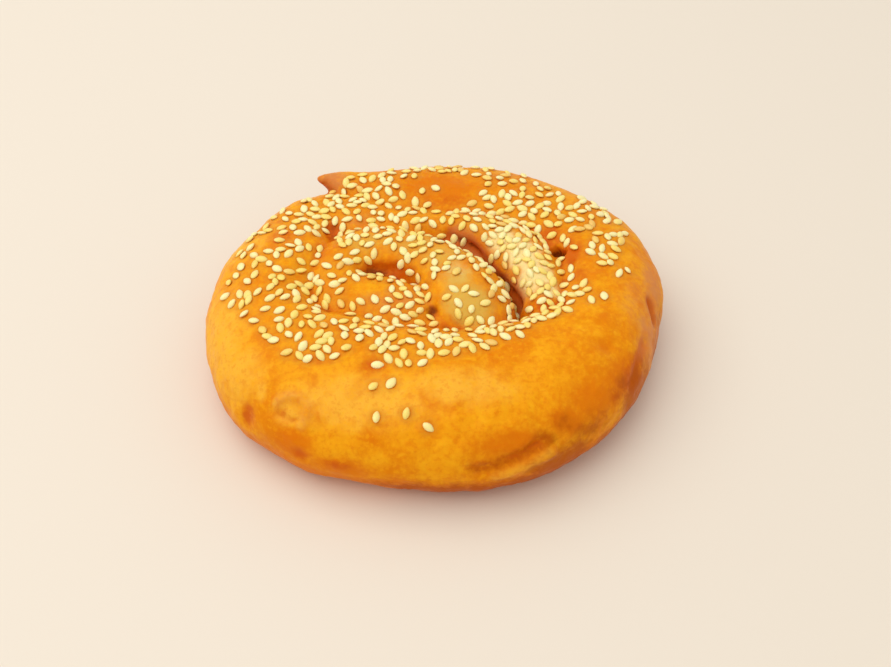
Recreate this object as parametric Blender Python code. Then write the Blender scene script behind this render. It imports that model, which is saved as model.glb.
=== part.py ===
"""A fried savory pancake: a rope of dough, coiled clockwise, pressed flat, fried and strewn with sesame.

Seen from above, the rope starts as a thin tail at the back left and makes one full outer turn. It then
passes inside its own tail, runs over the back as a second strand, and dives at the right. Its last
stretch comes up at the front left and lies as a broad lobe across the middle.

Lengths are in metres. +X is to the right, +Y to the back and +Z up, and the floor is at Z = 0. Angles are
in degrees from +X, round the coil's axis. A way along the coil is told by the degrees turned since the tail.
"""

import math
import random

import bmesh
import bpy
from mathutils import Matrix, Vector, geometry, noise
from mathutils.bvhtree import BVHTree

MM = 0.001

# Where the coil's axis stands, so that the origin is under the middle of the pancake's box
AXIS_X = -0.14 * MM
AXIS_Y = 0.36 * MM

# The pancake's outline round the axis: angle, radius
OUTLINE = (
    (-180, 62.0 * MM),
    (-165, 62.6 * MM),
    (-150, 63.0 * MM),
    (-132, 60.2 * MM),
    (-112, 56.9 * MM),
    (-95, 55.6 * MM),
    (-62, 57.6 * MM),
    (-45, 59.0 * MM),
    (-16, 60.4 * MM),
    (-4, 61.3 * MM),
    (10, 63.3 * MM),
    (24, 63.4 * MM),
    (45, 60.0 * MM),
    (75, 56.6 * MM),
    (90, 55.4 * MM),
    (108, 54.8 * MM),
    (126, 56.6 * MM),
    (145, 60.0 * MM),
    (165, 61.2 * MM),
    (180, 62.0 * MM),
)

# The rope's section
OUTER_SQUARENESS = 2.2
INNER_SQUARENESS = 2.8
ROPE_SIDES = 20
UNDERSIDE = -1.5 * MM
LEAN = 0.1

# The rope's height: degrees turned, top
CREST = (
    (20, 25.6 * MM),
    (90, 25.8 * MM),
    (180, 27.0 * MM),
    (320, 26.5 * MM),
    (351, 23.2 * MM),
    (375, 24.5 * MM),
    (430, 26.5 * MM),
    (512, 25.5 * MM),
)

# Where the coil starts
TAIL_ANGLE = 131

# The seam on the rope's inner side: degrees turned, radius, and how far the two neighbours overlap there.
# Where the overlap is below zero, the seam gapes.
SEAM = (
    (0, 51.5 * MM, 3.1 * MM),
    (4, 46.5 * MM, 3.1 * MM),
    (15, 36.6 * MM, 3.5 * MM),
    (43, 27.4 * MM, 3.5 * MM),
    (77, 30.9 * MM, 3.3 * MM),
    (95, 34.0 * MM, 3.1 * MM),
    (111, 35.5 * MM, 2.7 * MM),
    (127, 35.1 * MM, 2.7 * MM),
    (151, 32.5 * MM, 3.5 * MM),
    (167, 29.0 * MM, 4.1 * MM),
    (193, 23.4 * MM, 4.9 * MM),
    (226, 20.0 * MM, 5.1 * MM),
    (262, 23.0 * MM, 4.7 * MM),
    (277, 29.5 * MM, 4.1 * MM),
    (302, 35.0 * MM, 3.7 * MM),
    (333, 33.5 * MM, 3.3 * MM),
    (349, 36.0 * MM, 1.8 * MM),
    (357, 30.5 * MM, 2.9 * MM),
    (375, 23.0 * MM, 2.9 * MM),
    (404, 20.6 * MM, 3.6 * MM),
    (415, 19.0 * MM, 2.8 * MM),
    (432, 16.4 * MM, -0.3 * MM),
    (461, 15.9 * MM, -1.0 * MM),
    (481, 18.3 * MM, -1.3 * MM),
    (512, 25.2 * MM, -1.0 * MM),
)
ROPE_FROM = 20
ROPE_TO = 512
ROPE_STEP = 4
UNDER_TAIL_FROM = 351
UNDER_TAIL_TO = 378

# The tail, from its tip to where it has the rope's full size: x, y, half width, top, bottom
TAIL = (
    (-34.2 * MM, 44.2 * MM, 1.4 * MM, 23.4 * MM, 20.6 * MM),
    (-30.0 * MM, 43.9 * MM, 3.4 * MM, 24.0 * MM, 16.5 * MM),
    (-24.0 * MM, 42.8 * MM, 6.2 * MM, 24.3 * MM, 9.0 * MM),
    (-17.0 * MM, 41.6 * MM, 9.8 * MM, 24.8 * MM, 2.0 * MM),
    (-10.0 * MM, 40.9 * MM, 12.4 * MM, 25.3 * MM, UNDERSIDE),
    (-1.0 * MM, 41.0 * MM, 13.9 * MM, 25.8 * MM, UNDERSIDE),
)

# The last stretch, from under the front of the coil to the lobe's end: x, y, half width, top, bottom
LAST_STRETCH = (
    (17.0 * MM, -17.0 * MM, 7.0 * MM, 18.0 * MM, UNDERSIDE),
    (4.0 * MM, -16.0 * MM, 8.0 * MM, 22.0 * MM, UNDERSIDE),
    (-6.0 * MM, -11.0 * MM, 10.5 * MM, 25.0 * MM, UNDERSIDE),
    (-16.0 * MM, -7.0 * MM, 12.0 * MM, 26.0 * MM, UNDERSIDE),
    (-25.0 * MM, -3.0 * MM, 10.0 * MM, 26.0 * MM, UNDERSIDE),
    (-27.5 * MM, 4.5 * MM, 8.6 * MM, 26.0 * MM, UNDERSIDE),
    (-22.0 * MM, 12.3 * MM, 9.5 * MM, 26.5 * MM, UNDERSIDE),
    (-11.0 * MM, 12.8 * MM, 9.8 * MM, 27.0 * MM, UNDERSIDE),
    (-0.4 * MM, 8.4 * MM, 8.9 * MM, 28.0 * MM, UNDERSIDE),
    (4.7 * MM, 2.8 * MM, 10.8 * MM, 28.5 * MM, UNDERSIDE),
    (8.8 * MM, -5.0 * MM, 12.0 * MM, 28.5 * MM, UNDERSIDE),
    (11.8 * MM, -10.5 * MM, 10.6 * MM, 27.3 * MM, UNDERSIDE),
    (14.2 * MM, -15.0 * MM, 8.0 * MM, 25.0 * MM, UNDERSIDE),
)

# A lip that the pressing folded out low on the front: x, y, half width, top, bottom
LIP = (
    (2.0 * MM, -45.5 * MM, 3.0 * MM, 5.0 * MM, UNDERSIDE),
    (14.0 * MM, -45.5 * MM, 5.0 * MM, 8.0 * MM, UNDERSIDE),
    (26.0 * MM, -41.0 * MM, 5.5 * MM, 9.0 * MM, UNDERSIDE),
    (35.5 * MM, -34.0 * MM, 4.5 * MM, 7.5 * MM, UNDERSIDE),
    (42.0 * MM, -26.0 * MM, 3.0 * MM, 5.5 * MM, UNDERSIDE),
)
PATH_STEPS = 4
END_LENGTH = 0.8
END_SHARES = (0.5, 0.85)

# The pressed middle that the turns lie on
CORE_RADIUS = 46.0 * MM
CORE_TOP = 14.0 * MM
CORE_SQUARENESS = 0.5
CORE_SEGMENTS = 40

# The skin
VOXEL = 1.0 * MM
SKIN_SMOOTHING = 0.5
SKIN_SMOOTHING_ROUNDS = 5
SWELL = 0.5 * MM
SWELL_LENGTH = 16.0 * MM
DOUGH_FACES = 5000
FLOOR_CUT_SIDE = 200.0 * MM
FLOOR_CUT_DEPTH = 10.0 * MM

# The fold low on the front and the lip under it: points in millimetres
FOLD = ((6.5, -54.5, 15.8), (15.7, -53.2, 15.7), (23.4, -50.1, 17.5), (28.0, -48.0, 17.9))
FOLD_LIP = ((12.5, -54.6, 11.9), (18.2, -53.2, 12.8), (23.0, -51.6, 14.3), (29.9, -48.5, 15.7))
# The pocket left of the lobe, and the small hole right of the inner strand
POCKET = ((-19.5, 5.3, 23.6), (-13.8, 5.2, 23.6), (-8.3, 4.2, 24.5))
SMALL_HOLE = ((31.7, 14.0, 23.2), (33.4, 11.8, 23.3), (35.8, 10.4, 24.3))
# The creases on the right side
SIDE_CREASE = ((56.4, -2.5, 22.0), (57.5, -8.2, 19.5), (57.7, -11.5, 17.0))
SIDE_FOLD = ((54.5, -16.0, 20.0), (52.6, -22.4, 19.7), (47.7, -31.4, 17.0))
# The dents at the front left
CORNER_DENT = ((-46.8, -38.6, 17.5), (-46.1, -39.8, 13.0))
WRINKLE = ((-39.6, -41.0, 20.0), (-32.4, -43.6, 20.8))
# How far the skin stands out on each line, half width, line
CREASES = (
    (-1.2 * MM, 2.0 * MM, FOLD),
    (1.2 * MM, 2.2 * MM, FOLD_LIP),
    (-1.4 * MM, 1.8 * MM, POCKET),
    (-2.2 * MM, 1.4 * MM, SMALL_HOLE),
    (-0.8 * MM, 1.8 * MM, SIDE_CREASE),
    (-0.7 * MM, 2.4 * MM, SIDE_FOLD),
    (-1.0 * MM, 3.0 * MM, CORNER_DENT),
    (-0.6 * MM, 1.8 * MM, WRINKLE),
)

# Sesame seeds
SEED_LENGTH = 3.4 * MM
SEED_WIDTH = 2.1 * MM
SEED_THICKNESS = 1.4 * MM
SEED_TAPER = 0.25
SEED_ROUND_SIDES = 6
SEED_LONG_STEPS = 3
SEED_LIFT = 0.2 * MM
SEED_COUNT = 150
SEED_SPACING = 4.0 * MM
SEED_DRAW = 11
SEED_TRIES = 12000
SEED_STEEPEST = 0.6
# The front limit of the sown area: x in millimetres, y
SEED_FRONT_LIMIT = (
    (-56, -5 * MM),
    (-50, -15 * MM),
    (-40, -27 * MM),
    (-26, -29 * MM),
    (-6, -31 * MM),
    (6, -28 * MM),
    (18, -23 * MM),
    (26, -18 * MM),
    (38, -10.5 * MM),
    (48, 0 * MM),
    (54, 12 * MM),
)
SEED_RIM = 9.0 * MM
# Ovals without seeds: x, y, half width, half depth
BARE_OVALS = (
    (1.5 * MM, 36.5 * MM, 14.0 * MM, 6.0 * MM),
    (33.0 * MM, 12.5 * MM, 4.5 * MM, 4.0 * MM),
    (36.0 * MM, -1.0 * MM, 8.0 * MM, 8.0 * MM),
    (63.0 * MM, 12.0 * MM, 14.0 * MM, 30.0 * MM),
)

# Colour of the fried skin
SKIN_COLOUR = (0.78, 0.36, 0.06, 1.0)
SKIN_ROUGHNESS = 0.38


def clear_scene():
    for found in list(bpy.data.objects):
        bpy.data.objects.remove(found)


def value_at(stations, position, column=1):
    """A column's value at a position along the stations, on a smooth curve through them."""
    position = min(max(position, stations[0][0]), stations[-1][0])
    left = 0
    while left < len(stations) - 2 and stations[left + 1][0] <= position:
        left += 1
    here, there = stations[left], stations[left + 1]
    before = stations[max(left - 1, 0)]
    after = stations[min(left + 2, len(stations) - 1)]
    span = there[0] - here[0]
    slope_here = (there[column] - before[column]) / (there[0] - before[0]) * span
    slope_there = (after[column] - here[column]) / (after[0] - here[0]) * span
    t = (position - here[0]) / span
    return (
        here[column] * (2 * t**3 - 3 * t**2 + 1)
        + there[column] * (3 * t**2 - 2 * t**3)
        + slope_here * (t**3 - 2 * t**2 + t)
        + slope_there * (t**3 - t**2)
    )


def filled_path(rows):
    """A path's rows with more rows between them, on smooth curves."""
    stations = [(i, *row) for i, row in enumerate(rows)]
    count = (len(rows) - 1) * PATH_STEPS
    columns = range(1, len(stations[0]))
    return [[value_at(stations, i / PATH_STEPS, c) for c in columns] for i in range(count + 1)]


def ease(share):
    """0 below 0, 1 above 1, and a soft rise between."""
    share = min(max(share, 0.0), 1.0)
    return share * share * (3 - 2 * share)


def outline_radius(angle):
    return value_at(OUTLINE, (angle + 180) % 360 - 180)


def coil_rows():
    """The coil's path: x, y, half width, top, bottom."""
    rows = []
    for turned in range(ROPE_FROM, ROPE_TO + 1, ROPE_STEP):
        angle = TAIL_ANGLE - turned
        inner = value_at(SEAM, turned) - value_at(SEAM, turned, 2)
        under_tail = ease((turned - UNDER_TAIL_FROM) / (UNDER_TAIL_TO - UNDER_TAIL_FROM))
        lap_before = turned - 360
        covered = value_at(SEAM, lap_before) + value_at(SEAM, lap_before, 2)
        outer = outline_radius(angle) * (1 - under_tail) + covered * under_tail
        top = value_at(CREST, turned)
        middle = (outer + inner) / 2
        way = math.radians(angle)
        x, y = middle * math.cos(way), middle * math.sin(way)
        rows.append((x, y, (outer - inner) / 2, top, UNDERSIDE))
    return rows


def section_frames(rows):
    """A matrix for each section along a path, with smaller ones that dome its two ends."""
    places = [Vector((row[0], row[1], 0)) for row in rows]
    frames = []
    last = len(rows) - 1
    for i, (_, _, half_width, top, bottom) in enumerate(rows):
        along = (places[min(i + 1, last)] - places[max(i - 1, 0)]).normalized()
        across = Vector((along.y, -along.x, 0))
        half_height = (top - bottom) / 2
        level = Vector((0, 0, (top + bottom) / 2))

        def frame(shift, shrink):
            turn = Matrix((across, along, (0, 0, 1))).transposed().to_4x4()
            size = Matrix.Diagonal((half_width * shrink, 1, half_height * shrink, 1))
            size[2][0] = LEAN * half_width * shrink
            place = Matrix.Translation(places[i] + level + along * (shift * half_width))
            return place @ turn @ size

        ends = [(share * END_LENGTH, math.sqrt(1 - share**2)) for share in END_SHARES]
        if i == 0:
            frames += [frame(-shift, shrink) for shift, shrink in reversed(ends)]
        frames.append(frame(0, 1))
        if i == last:
            frames += [frame(shift, shrink) for shift, shrink in ends]
    return frames


def add_rope(bm, rows, outer_squareness):
    """A closed rope along a path: one rounded section, drawn on from frame to frame."""
    frames = section_frames(rows)
    ring = bmesh.ops.create_circle(bm, segments=ROPE_SIDES, radius=1)["verts"]
    for vert in ring:
        wide, high = vert.co.x, vert.co.y
        power = 2 / (INNER_SQUARENESS if wide > 0 else outer_squareness)
        vert.co.x = math.copysign(abs(wide) ** power, wide)
        vert.co.y = 0
        vert.co.z = math.copysign(abs(high) ** power, high)
    bmesh.ops.transform(bm, matrix=frames[0], verts=ring)
    edges = list({edge for vert in ring for edge in vert.link_edges})
    bmesh.ops.edgeloop_fill(bm, edges=edges)
    for before, after in zip(frames, frames[1:]):
        drawn = bmesh.ops.extrude_edge_only(bm, edges=edges)["geom"]
        verts = [item for item in drawn if isinstance(item, bmesh.types.BMVert)]
        edges = [item for item in drawn if isinstance(item, bmesh.types.BMEdge)]
        bmesh.ops.transform(bm, matrix=after @ before.inverted(), verts=verts)
    bmesh.ops.edgeloop_fill(bm, edges=edges)


def add_core(bm):
    """The pressed middle under the turns."""
    half_height = (CORE_TOP - UNDERSIDE) / 2
    made = bmesh.ops.create_uvsphere(
        bm, u_segments=CORE_SEGMENTS, v_segments=CORE_SEGMENTS // 2, radius=1
    )
    for vert in made["verts"]:
        height = math.copysign(abs(vert.co.z) ** CORE_SQUARENESS, vert.co.z)
        vert.co = Vector((vert.co.x * CORE_RADIUS, vert.co.y * CORE_RADIUS, height * half_height))
    bmesh.ops.translate(bm, verts=made["verts"], vec=(0, 0, UNDERSIDE + half_height))


def object_from(bm, name):
    bmesh.ops.recalc_face_normals(bm, faces=bm.faces[:])
    mesh = bpy.data.meshes.new(name)
    bm.to_mesh(mesh)
    bm.free()
    made = bpy.data.objects.new(name, mesh)
    bpy.context.scene.collection.objects.link(made)
    return made


def apply_modifiers(made):
    graph = bpy.context.evaluated_depsgraph_get()
    shaped = bpy.data.meshes.new_from_object(made.evaluated_get(graph))
    made.modifiers.clear()
    made.data = shaped


def make_dough():
    """All stretches of the rope, pressed into one skin."""
    bm = bmesh.new()
    add_rope(bm, coil_rows(), OUTER_SQUARENESS)
    for path in (TAIL, LIP):
        add_rope(bm, filled_path(path), OUTER_SQUARENESS)
    add_rope(bm, filled_path(LAST_STRETCH), INNER_SQUARENESS)
    add_core(bm)
    bmesh.ops.translate(bm, verts=bm.verts[:], vec=(AXIS_X, AXIS_Y, 0))
    dough = object_from(bm, "pancake")
    skin = dough.modifiers.new("one_skin", "REMESH")
    skin.mode = "VOXEL"
    skin.voxel_size = VOXEL
    soft = dough.modifiers.new("soft_seams", "SMOOTH")
    soft.factor = SKIN_SMOOTHING
    soft.iterations = SKIN_SMOOTHING_ROUNDS
    apply_modifiers(dough)
    keep_outer_skin(dough)
    shape_skin(dough)
    return dough


def keep_outer_skin(dough):
    """Drops the walls of any hollow that the turns have closed in."""
    bm = bmesh.new()
    bm.from_mesh(dough.data)
    left = set(bm.verts)
    skins = []
    while left:
        reached = [left.pop()]
        skin = set(reached)
        while reached:
            vert = reached.pop()
            for edge in vert.link_edges:
                other = edge.other_vert(vert)
                if other in left:
                    left.discard(other)
                    skin.add(other)
                    reached.append(other)
        skins.append(skin)
    skins.sort(key=len)
    for inner in skins[:-1]:
        bmesh.ops.delete(bm, geom=list(inner), context="VERTS")
    bm.to_mesh(dough.data)
    bm.free()


def distance_to(place, path):
    """How far a place is from a line of straight stretches."""
    nearest = math.inf
    for start, end in zip(path, path[1:]):
        start, end = Vector(start) * MM, Vector(end) * MM
        spot, share = geometry.intersect_point_line(place, start, end)
        if share < 0 or share > 1:
            spot = start if share < 0 else end
        nearest = min(nearest, (place - spot).length)
    return nearest


def shape_skin(dough):
    """Lets the skin stand out and fall back unevenly, as dough does in hot oil, and creases it."""
    bm = bmesh.new()
    bm.from_mesh(dough.data)
    pushes = []
    for vert in bm.verts:
        push = SWELL * noise.noise(vert.co / SWELL_LENGTH)
        for height, half_width, path in CREASES:
            push += height * math.exp(-((distance_to(vert.co, path) / half_width) ** 2))
        pushes.append(vert.normal * push)
    for vert, push in zip(bm.verts, pushes):
        vert.co += push
    bm.to_mesh(dough.data)
    bm.free()


def thin_out(dough):
    """Brings the skin down to the faces that its shape needs."""
    thin = dough.modifiers.new("fewer_faces", "DECIMATE")
    thin.ratio = DOUGH_FACES / (2 * len(dough.data.polygons))
    apply_modifiers(dough)


def flatten_underside(dough):
    """Cuts the underside flat at the floor."""
    bm = bmesh.new()
    bmesh.ops.create_cube(bm, size=1)
    bmesh.ops.scale(bm, verts=bm.verts[:], vec=(FLOOR_CUT_SIDE, FLOOR_CUT_SIDE, FLOOR_CUT_DEPTH))
    bmesh.ops.translate(bm, verts=bm.verts[:], vec=(0, 0, -FLOOR_CUT_DEPTH / 2))
    floor = object_from(bm, "floor_cutter")
    cut = dough.modifiers.new("flat_underside", "BOOLEAN")
    cut.operation = "DIFFERENCE"
    cut.object = floor
    apply_modifiers(dough)
    bpy.data.objects.remove(floor)


def seed_wanted(place):
    """Whether seeds lie at a place on the pancake's top."""
    x, y = place.x - AXIS_X, place.y - AXIS_Y
    angle = math.degrees(math.atan2(y, x))
    if math.hypot(x, y) > outline_radius(angle) - SEED_RIM:
        return False
    if y < value_at(SEED_FRONT_LIMIT, x / MM):
        return False
    for middle_x, middle_y, half_width, half_depth in BARE_OVALS:
        if math.hypot((x - middle_x) / half_width, (y - middle_y) / half_depth) < 1:
            return False
    return True


def seed_places(dough):
    """Spots and ways to lie for the seeds, spread evenly over where they belong."""
    surface = BVHTree.FromObject(dough, bpy.context.evaluated_depsgraph_get())
    draw = random.Random(SEED_DRAW)
    reach = max(radius for _, radius in OUTLINE)
    places = []
    for _ in range(SEED_TRIES):
        above = Vector((draw.uniform(-reach, reach), draw.uniform(-reach, reach), reach))
        heading = draw.uniform(0, 2 * math.pi)
        spot, normal, _, _ = surface.ray_cast(above, Vector((0, 0, -1)))
        if spot is None or normal.z < SEED_STEEPEST or not seed_wanted(spot):
            continue
        if all((spot - other[0]).length > SEED_SPACING for other in places):
            places.append((spot, normal, heading))
        if len(places) == SEED_COUNT:
            break
    return places


def make_seed(name, spot, normal, heading):
    """One seed, blunt at one end, lying on the skin and sunk into it a little."""
    bm = bmesh.new()
    bmesh.ops.create_uvsphere(
        bm, u_segments=SEED_ROUND_SIDES, v_segments=SEED_LONG_STEPS, radius=0.5
    )
    for vert in bm.verts:
        slimmer = 1 - 2 * SEED_TAPER * vert.co.z
        vert.co = Vector(
            (
                vert.co.z * SEED_LENGTH,
                vert.co.x * slimmer * SEED_WIDTH,
                vert.co.y * slimmer * SEED_THICKNESS,
            )
        )
    lie = normal.to_track_quat("Z", "Y").to_matrix() @ Matrix.Rotation(heading, 3, "Z")
    middle = spot + normal * SEED_LIFT
    bmesh.ops.transform(bm, matrix=Matrix.Translation(middle) @ lie.to_4x4(), verts=bm.verts[:])
    return object_from(bm, name)


def fuse_seeds(dough):
    """Joins the seeds to the skin, so that the pancake stays one solid."""
    seeds = bpy.data.collections.new("seeds")
    for i, (spot, normal, heading) in enumerate(seed_places(dough)):
        seeds.objects.link(make_seed(f"seed_{i}", spot, normal, heading))
    union = dough.modifiers.new("seeds", "BOOLEAN")
    union.operation = "UNION"
    union.operand_type = "COLLECTION"
    union.collection = seeds
    apply_modifiers(dough)
    for seed in list(seeds.objects):
        bpy.data.objects.remove(seed)
    bpy.data.collections.remove(seeds)


def skin_material():
    material = bpy.data.materials.new("fried_skin")
    material.use_nodes = True
    shader = material.node_tree.nodes["Principled BSDF"]
    shader.inputs["Base Color"].default_value = SKIN_COLOUR
    shader.inputs["Roughness"].default_value = SKIN_ROUGHNESS
    shader.inputs["Metallic"].default_value = 0.0
    return material


def main():
    clear_scene()
    pancake = make_dough()
    thin_out(pancake)
    flatten_underside(pancake)
    fuse_seeds(pancake)
    pancake.data.materials.clear()
    pancake.data.materials.append(skin_material())


main()
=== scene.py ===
# %% [markdown]
# # A fried, coiled pancake with sesame
# The real thing is one rope of bread dough. It is rolled into a flat coil, pressed, strewn with sesame
# and fried in oil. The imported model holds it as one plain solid. This notebook puts a finely shaped skin
# of fried dough and its sesame seeds in that solid's place, in the same frame: +X to the right, +Y to the
# back, +Z up, and the floor at Z = 0. Blender counts in metres, but the tables below are in millimetres,
# which suit a thing of this size.

import math
import random

import bmesh
import bpy
import numpy as np
from mathutils import Matrix, Vector, noise
from mathutils.bvhtree import BVHTree
from mathutils.kdtree import KDTree


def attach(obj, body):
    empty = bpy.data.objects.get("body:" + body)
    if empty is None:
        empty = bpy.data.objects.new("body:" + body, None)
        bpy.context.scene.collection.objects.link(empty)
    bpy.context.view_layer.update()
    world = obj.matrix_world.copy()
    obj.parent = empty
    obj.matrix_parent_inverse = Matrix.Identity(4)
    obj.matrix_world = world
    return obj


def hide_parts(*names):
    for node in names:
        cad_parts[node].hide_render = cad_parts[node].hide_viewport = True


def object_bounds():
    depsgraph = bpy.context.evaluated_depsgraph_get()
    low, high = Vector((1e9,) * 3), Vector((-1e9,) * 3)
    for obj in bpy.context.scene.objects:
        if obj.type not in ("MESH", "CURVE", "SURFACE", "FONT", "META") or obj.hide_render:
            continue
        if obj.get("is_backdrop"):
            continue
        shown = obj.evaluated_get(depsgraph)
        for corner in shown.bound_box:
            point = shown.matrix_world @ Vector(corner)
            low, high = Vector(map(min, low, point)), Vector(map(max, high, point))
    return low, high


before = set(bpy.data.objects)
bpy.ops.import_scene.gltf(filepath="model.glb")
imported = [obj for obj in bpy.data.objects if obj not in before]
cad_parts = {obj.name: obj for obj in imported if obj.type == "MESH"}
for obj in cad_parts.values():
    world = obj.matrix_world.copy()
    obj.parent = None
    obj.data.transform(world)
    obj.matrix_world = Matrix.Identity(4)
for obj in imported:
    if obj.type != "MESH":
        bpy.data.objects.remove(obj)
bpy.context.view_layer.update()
MM = 0.001

# %% [markdown]
# ## The camera
# The photograph looks down on the pancake at 48 degrees, from about 30 cm away, as its perspective tells.
# The camera comes first, so that every later step can be looked at from the right place.

# %% Camera
PHOTO_WIDTH = 891
FOCAL_PIXELS = 1107
SENSOR_WIDTH = 36
LOOK_DOWN = math.radians(48)
LOOK_FROM = 296.2 * MM
LOOK_AT = Vector((2.56, -9.64, 14.0)) * MM

camera_data = bpy.data.cameras.new("camera")
camera_data.sensor_width = SENSOR_WIDTH
camera_data.lens = FOCAL_PIXELS / PHOTO_WIDTH * SENSOR_WIDTH
camera_data.clip_start = 10 * MM
camera = bpy.data.objects.new("camera", camera_data)
camera.location = LOOK_AT + LOOK_FROM * Vector((0, -math.cos(LOOK_DOWN), math.sin(LOOK_DOWN)))
camera.rotation_euler = (math.radians(90) - LOOK_DOWN, 0, 0)
bpy.context.scene.collection.objects.link(camera)
bpy.context.scene.camera = camera
print("lens, mm:", round(camera_data.lens, 1))

# %% [markdown]
# ## The coil's measures
# All measures of the dough's plain shape stand here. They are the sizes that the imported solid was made
# from, so that the fine skin and the plain solid agree. The coil is told by its outline and by one seam
# that winds inwards: the rope fills the space between the seam and whatever lies outside it. A way along
# the coil is the degrees turned since the tail, clockwise as seen from above. The tables are told from
# the coil's axis.

# %% Measures of the coil
# where the coil's axis stands, and at which angle from +X the rope's tail lies
AXIS = Vector((-0.14, 0.36, 0.0)) * MM
TAIL_ANGLE = 131
# how far a section's outer side is raised, and where the dough's underside would be before it is cut flat
LEAN = 0.1
UNDERSIDE = -1.5
# how square a section is on its outer and its inner side, where 2 is round
OUTER_SQUARENESS = 2.2
INNER_SQUARENESS = 2.8

# angle, radius
OUTLINE = (
    (-180, 62.0),
    (-165, 62.6),
    (-150, 63.0),
    (-132, 60.2),
    (-112, 56.9),
    (-95, 55.6),
    (-62, 57.6),
    (-45, 59.0),
    (-16, 60.4),
    (-4, 61.3),
    (10, 63.3),
    (24, 63.4),
    (45, 60.0),
    (75, 56.6),
    (90, 55.4),
    (108, 54.8),
    (126, 56.6),
    (145, 60.0),
    (165, 61.2),
    (180, 62.0),
)
# degrees turned, top
CREST = (
    (20, 25.6),
    (90, 25.8),
    (180, 27.0),
    (320, 26.5),
    (351, 23.2),
    (375, 24.5),
    (430, 26.5),
    (512, 25.5),
)
# degrees turned, radius of the seam, how far the neighbours overlap there
SEAM = (
    (0, 51.5, 3.1),
    (4, 46.5, 3.1),
    (15, 36.6, 3.5),
    (43, 27.4, 3.5),
    (77, 30.9, 3.3),
    (95, 34.0, 3.1),
    (111, 35.5, 2.7),
    (127, 35.1, 2.7),
    (151, 32.5, 3.5),
    (167, 29.0, 4.1),
    (193, 23.4, 4.9),
    (226, 20.0, 5.1),
    (262, 23.0, 4.7),
    (277, 29.5, 4.1),
    (302, 35.0, 3.7),
    (333, 33.5, 3.3),
    (349, 36.0, 1.8),
    (357, 30.5, 2.9),
    (375, 23.0, 2.9),
    (404, 20.6, 3.6),
    (415, 19.0, 2.8),
    (432, 16.4, -0.3),
    (461, 15.9, -1.0),
    (481, 18.3, -1.3),
    (512, 25.2, -1.0),
)
ROPE_FROM = 20
ROPE_TO = 512
# the stretch where the rope slips under its own tail
UNDER_TAIL_FROM = 351
UNDER_TAIL_TO = 378
print("the rope turns", ROPE_TO - ROPE_FROM, "degrees")

# %% [markdown]
# ## Reading the measures smoothly
# A table gives a measure at a few places only. Straight lines between them would leave corners in the
# dough, so the values in between lie on a smooth curve, which at each place runs the way that its two
# neighbours lie. Few numbers are then enough, and each can be changed by hand.

# %% Smooth values between the measures
def value_at(stations, position, column=1):
    """A column's value at a position along the stations, on a smooth curve through them."""
    position = min(max(position, stations[0][0]), stations[-1][0])
    left = 0
    while left < len(stations) - 2 and stations[left + 1][0] <= position:
        left += 1
    here, there = stations[left], stations[left + 1]
    before = stations[max(left - 1, 0)]
    after = stations[min(left + 2, len(stations) - 1)]
    span = there[0] - here[0]
    slope_here = (there[column] - before[column]) / (there[0] - before[0]) * span
    slope_there = (after[column] - here[column]) / (after[0] - here[0]) * span
    t = (position - here[0]) / span
    return (
        here[column] * (2 * t**3 - 3 * t**2 + 1)
        + there[column] * (3 * t**2 - 2 * t**3)
        + slope_here * (t**3 - 2 * t**2 + t)
        + slope_there * (t**3 - t**2)
    )


def ease(share):
    """0 below 0, 1 above 1, and a soft rise between."""
    share = min(max(share, 0.0), 1.0)
    return share * share * (3 - 2 * share)


def outline_radius(angle):
    return value_at(OUTLINE, (angle + 180) % 360 - 180)


print("the crest halfway along, mm:", round(value_at(CREST, (ROPE_FROM + ROPE_TO) / 2), 1))

# %% [markdown]
# ## The rope's paths
# A path is a list of rows: x, y, half width, top and bottom. The coil's rows are worked out from the
# seam. Three short stretches don't follow the spiral, so they have their own rows: the free tail, the last
# stretch that lies over the middle, and a low lip that the pressing folded out on the front.

# %% Paths of the rope
TAIL = (
    (-34.2, 44.2, 1.4, 23.4, 20.6),
    (-30.0, 43.9, 3.4, 24.0, 16.5),
    (-24.0, 42.8, 6.2, 24.3, 9.0),
    (-17.0, 41.6, 9.8, 24.8, 2.0),
    (-10.0, 40.9, 12.4, 25.3, UNDERSIDE),
    (-1.0, 41.0, 13.9, 25.8, UNDERSIDE),
)
LAST_STRETCH = (
    (17.0, -17.0, 7.0, 18.0, UNDERSIDE),
    (4.0, -16.0, 8.0, 22.0, UNDERSIDE),
    (-6.0, -11.0, 10.5, 25.0, UNDERSIDE),
    (-16.0, -7.0, 12.0, 26.0, UNDERSIDE),
    (-25.0, -3.0, 10.0, 26.0, UNDERSIDE),
    (-27.5, 4.5, 8.6, 26.0, UNDERSIDE),
    (-22.0, 12.3, 9.5, 26.5, UNDERSIDE),
    (-11.0, 12.8, 9.8, 27.0, UNDERSIDE),
    (-0.4, 8.4, 8.9, 28.0, UNDERSIDE),
    (4.7, 2.8, 10.8, 28.5, UNDERSIDE),
    (8.8, -5.0, 12.0, 28.5, UNDERSIDE),
    (11.8, -10.5, 10.6, 27.3, UNDERSIDE),
    (14.2, -15.0, 8.0, 25.0, UNDERSIDE),
)
LIP = (
    (2.0, -45.5, 3.0, 5.0, UNDERSIDE),
    (14.0, -45.5, 5.0, 8.0, UNDERSIDE),
    (26.0, -41.0, 5.5, 9.0, UNDERSIDE),
    (35.5, -34.0, 4.5, 7.5, UNDERSIDE),
    (42.0, -26.0, 3.0, 5.5, UNDERSIDE),
)
ROPE_STEP = 3
PATH_STEPS = 8


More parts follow.
